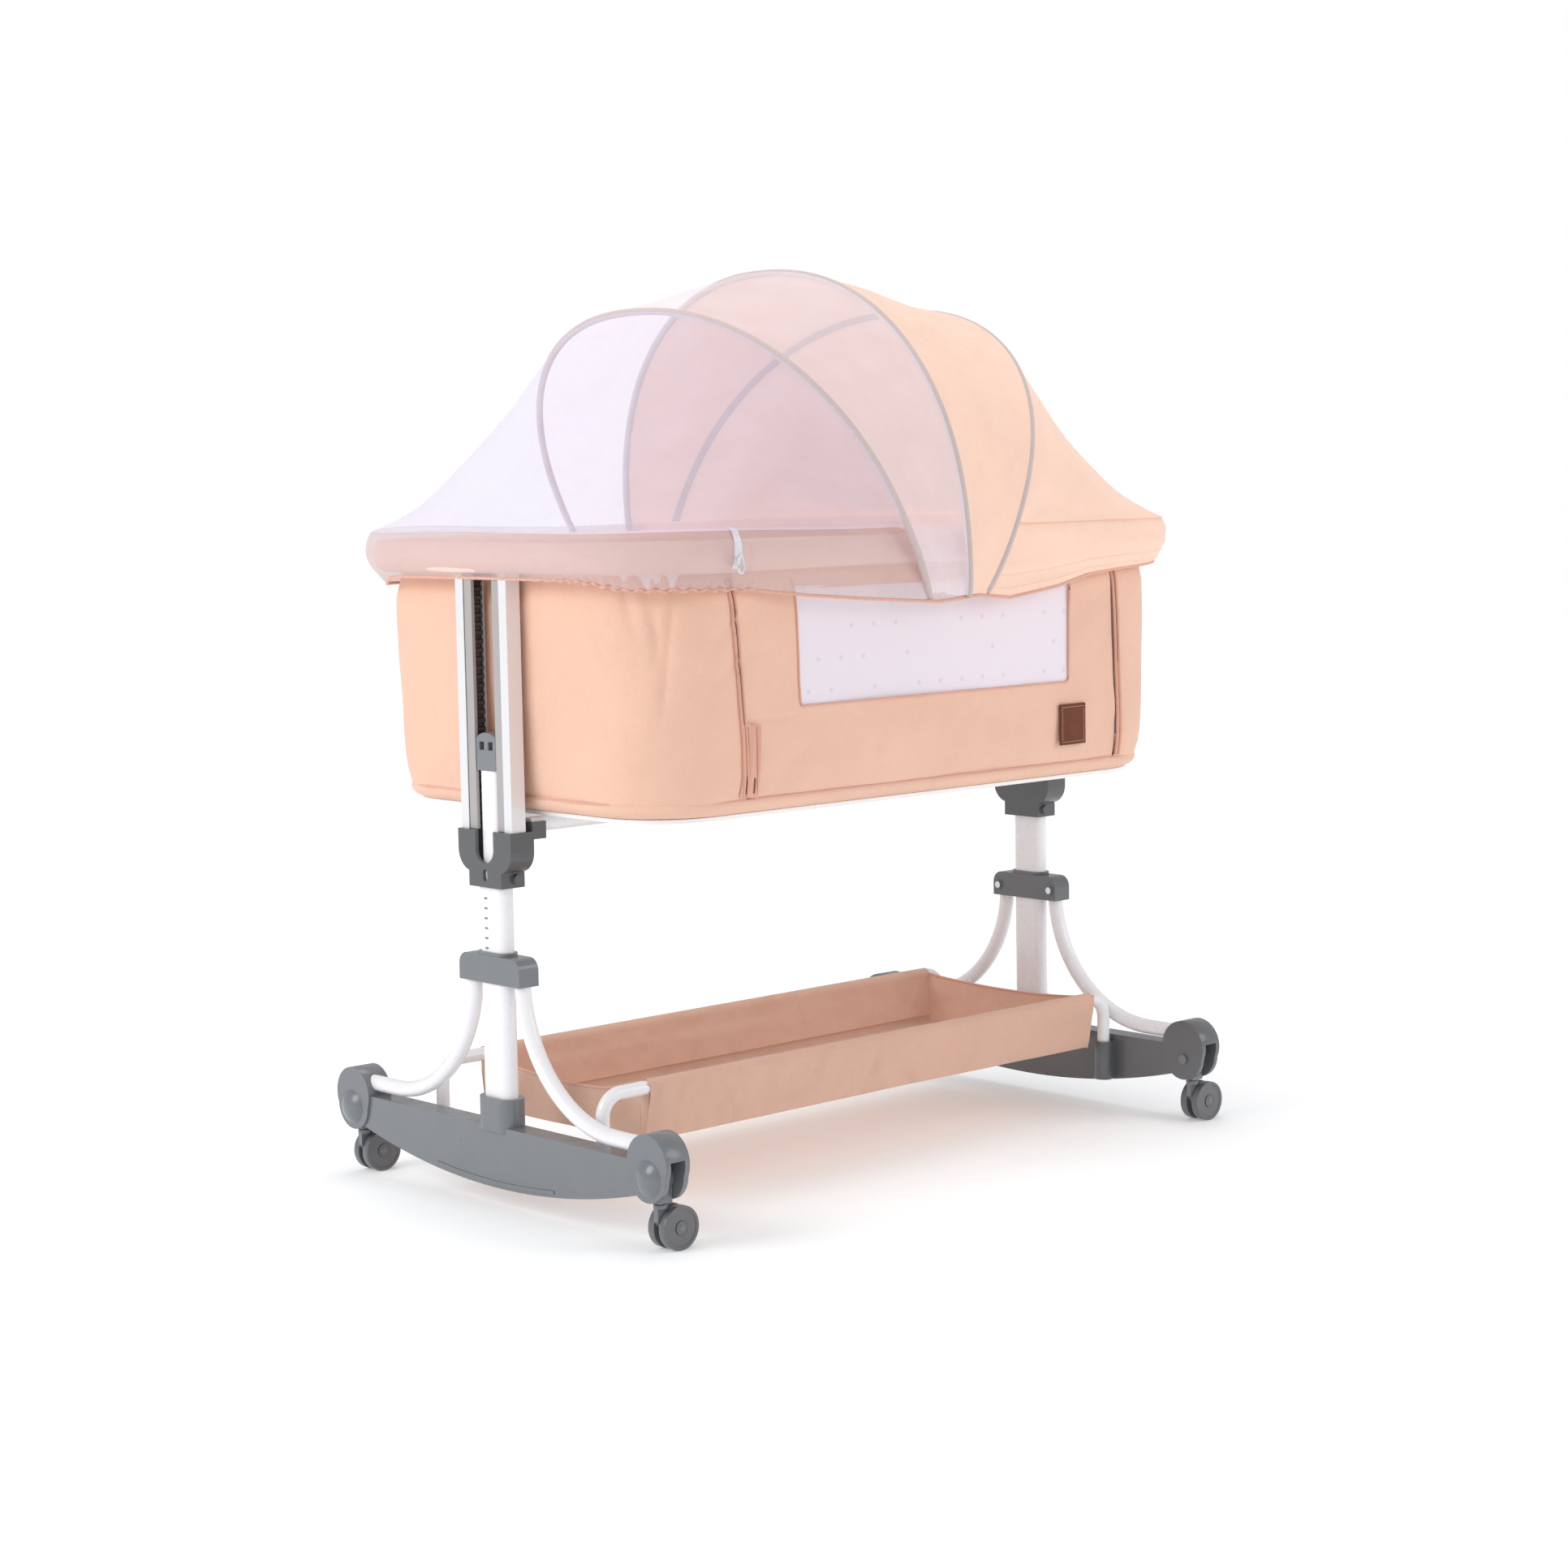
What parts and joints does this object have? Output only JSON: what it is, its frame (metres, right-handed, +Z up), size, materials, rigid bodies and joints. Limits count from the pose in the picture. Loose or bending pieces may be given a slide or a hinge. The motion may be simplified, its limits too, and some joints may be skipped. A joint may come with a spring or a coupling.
{
  "type": "bassinet on stand",
  "caption": "Fabric bassinet on a height-adjustable two-post stand with rocker feet, fold-away casters, a drop side, a storage sling and a hooped net-and-hood canopy.",
  "frame": {"origin": "centre of the footprint, on the floor under the wheels", "axes": "+Z up, +X along the bassinet towards the hood end, -Y towards the side that drops"},
  "size_m": [0.9815, 0.618, 1.0844],
  "materials": {
    "grey_plastic": "satin moulded",
    "wheel_plastic": "satin moulded",
    "black_plastic": "satin moulded",
    "white_paint": "powder coat",
    "rail_aluminium": "satin anodised",
    "steel": "plated",
    "white_board": "smooth board",
    "peach_fabric": "woven",
    "hood_fabric": "light woven",
    "net": "fine net",
    "window_mesh": "fine mesh",
    "mattress_cover": "quilted",
    "leather": "stitched",
    "hoop_sleeve": "rod in a fabric sleeve"
  },
  "bodies": {
    "stand": {"foot_left": "grey_plastic", "foot_right": "grey_plastic", "post_left": "white_paint", "post_right": "white_paint", "inner_tube_left": "white_paint", "inner_tube_right": "white_paint", "latch_block_left": "grey_plastic", "latch_block_right": "grey_plastic", "brace_left_near": "white_paint", "brace_left_far": "white_paint", "brace_right_near": "white_paint", "brace_right_far": "white_paint", "collar_left": "grey_plastic", "collar_right": "grey_plastic", "collar_screws": "steel", "pivot_pins": "grey_plastic", "basket_tube_near": "white_paint", "basket_tube_far": "white_paint", "basket_sling": "peach_fabric"},
    "bassinet": {"bracket_left": "grey_plastic", "bracket_right": "grey_plastic", "rails_left": "rail_aluminium", "rails_right": "rail_aluminium", "rail_inserts_left": "grey_plastic", "rail_inserts_right": "grey_plastic", "racks_left": "black_plastic", "racks_right": "black_plastic", "rim_frame": "white_paint", "rim_pad": "peach_fabric", "base_tubes": "white_paint", "base_board": "white_board", "mattress": "mattress_cover", "tub_fabric": "peach_fabric", "leather_patch": "leather", "hoop_rear": "hoop_sleeve", "hood_front": "hood_fabric", "hood_rear": "hood_fabric", "skirt": "net"},
    "drop_side": {"drop_rail": "white_paint", "drop_pad": "peach_fabric", "side_panel": "peach_fabric", "side_window": "window_mesh"},
    "canopy_middle": {"hoop_middle": "hoop_sleeve", "net_middle": "net"},
    "canopy_front": {"hoop_front": "hoop_sleeve", "net_front": "net"},
    "arm_left_near": {"caster_arm_left_near": "grey_plastic"},
    "fork_left_near": {"caster_fork_left_near": "grey_plastic"},
    "wheels_left_near": {"caster_wheels_left_near": "wheel_plastic"},
    "arm_left_far": {"caster_arm_left_far": "grey_plastic"},
    "fork_left_far": {"caster_fork_left_far": "grey_plastic"},
    "wheels_left_far": {"caster_wheels_left_far": "wheel_plastic"},
    "arm_right_near": {"caster_arm_right_near": "grey_plastic"},
    "fork_right_near": {"caster_fork_right_near": "grey_plastic"},
    "wheels_right_near": {"caster_wheels_right_near": "wheel_plastic"},
    "brake_near": {"brake_lever_near": "grey_plastic"},
    "arm_right_far": {"caster_arm_right_far": "grey_plastic"},
    "fork_right_far": {"caster_fork_right_far": "grey_plastic"},
    "wheels_right_far": {"caster_wheels_right_far": "wheel_plastic"},
    "brake_far": {"brake_lever_far": "grey_plastic"}
  },
  "joints": [
    {"name": "height", "type": "slide", "parent": "stand", "child": "bassinet", "axis": [0, 0, 1], "range_m": [-0.045, 0.075]},
    {"name": "drop_side", "type": "slide", "parent": "bassinet", "child": "drop_side", "axis": [0, 0, 1], "range_m": [-0.16, 0], "deforming": ["side_panel", "side_window"]},
    {"name": "hoop_middle_fold", "type": "hinge", "parent": "bassinet", "child": "canopy_middle", "pos_m": [0.021, 0, 0.715], "axis": [0, 1, 0], "range_deg": [0, 26], "deforming": ["hood_front"]},
    {"name": "hoop_front_fold", "type": "hinge", "parent": "canopy_middle", "child": "canopy_front", "pos_m": [-0.048, 0, 0.715], "axis": [0, 1, 0], "range_deg": [0, 23], "deforming": ["net_front", "net_middle"]},
    {"name": "fold_left_near", "type": "hinge", "parent": "stand", "child": "arm_left_near", "pos_m": [-0.45, -0.278, 0.083], "axis": [-1, 0, 0], "range_deg": [0, 90]},
    {"name": "swivel_left_near", "type": "hinge", "parent": "arm_left_near", "child": "fork_left_near", "pos_m": [-0.45, -0.278, 0.06], "axis": [0, 0, 1], "continuous": true},
    {"name": "roll_left_near", "type": "hinge", "parent": "fork_left_near", "child": "wheels_left_near", "pos_m": [-0.432, -0.278, 0.025], "axis": [0, 1, 0], "continuous": true},
    {"name": "fold_left_far", "type": "hinge", "parent": "stand", "child": "arm_left_far", "pos_m": [-0.45, 0.278, 0.083], "axis": [1, 0, 0], "range_deg": [0, 90]},
    {"name": "swivel_left_far", "type": "hinge", "parent": "arm_left_far", "child": "fork_left_far", "pos_m": [-0.45, 0.278, 0.06], "axis": [0, 0, 1], "continuous": true},
    {"name": "roll_left_far", "type": "hinge", "parent": "fork_left_far", "child": "wheels_left_far", "pos_m": [-0.432, 0.278, 0.025], "axis": [0, 1, 0], "continuous": true},
    {"name": "fold_right_near", "type": "hinge", "parent": "stand", "child": "arm_right_near", "pos_m": [0.45, -0.278, 0.083], "axis": [-1, 0, 0], "range_deg": [0, 90]},
    {"name": "swivel_right_near", "type": "hinge", "parent": "arm_right_near", "child": "fork_right_near", "pos_m": [0.45, -0.278, 0.06], "axis": [0, 0, 1], "continuous": true},
    {"name": "roll_right_near", "type": "hinge", "parent": "fork_right_near", "child": "wheels_right_near", "pos_m": [0.468, -0.278, 0.025], "axis": [0, 1, 0], "continuous": true},
    {"name": "brake_near", "type": "hinge", "parent": "fork_right_near", "child": "brake_near", "pos_m": [0.477, -0.278, 0.031], "axis": [0, 1, 0], "range_deg": [0, 18]},
    {"name": "fold_right_far", "type": "hinge", "parent": "stand", "child": "arm_right_far", "pos_m": [0.45, 0.278, 0.083], "axis": [1, 0, 0], "range_deg": [0, 90]},
    {"name": "swivel_right_far", "type": "hinge", "parent": "arm_right_far", "child": "fork_right_far", "pos_m": [0.45, 0.278, 0.06], "axis": [0, 0, 1], "continuous": true},
    {"name": "roll_right_far", "type": "hinge", "parent": "fork_right_far", "child": "wheels_right_far", "pos_m": [0.468, 0.278, 0.025], "axis": [0, 1, 0], "continuous": true},
    {"name": "brake_far", "type": "hinge", "parent": "fork_right_far", "child": "brake_far", "pos_m": [0.477, 0.278, 0.031], "axis": [0, 1, 0], "range_deg": [0, 18]}
  ],
  "couplings": [
    {"joint": "hoop_front_fold", "follows": "hoop_middle_fold", "ratio": 0.88}
  ]
}
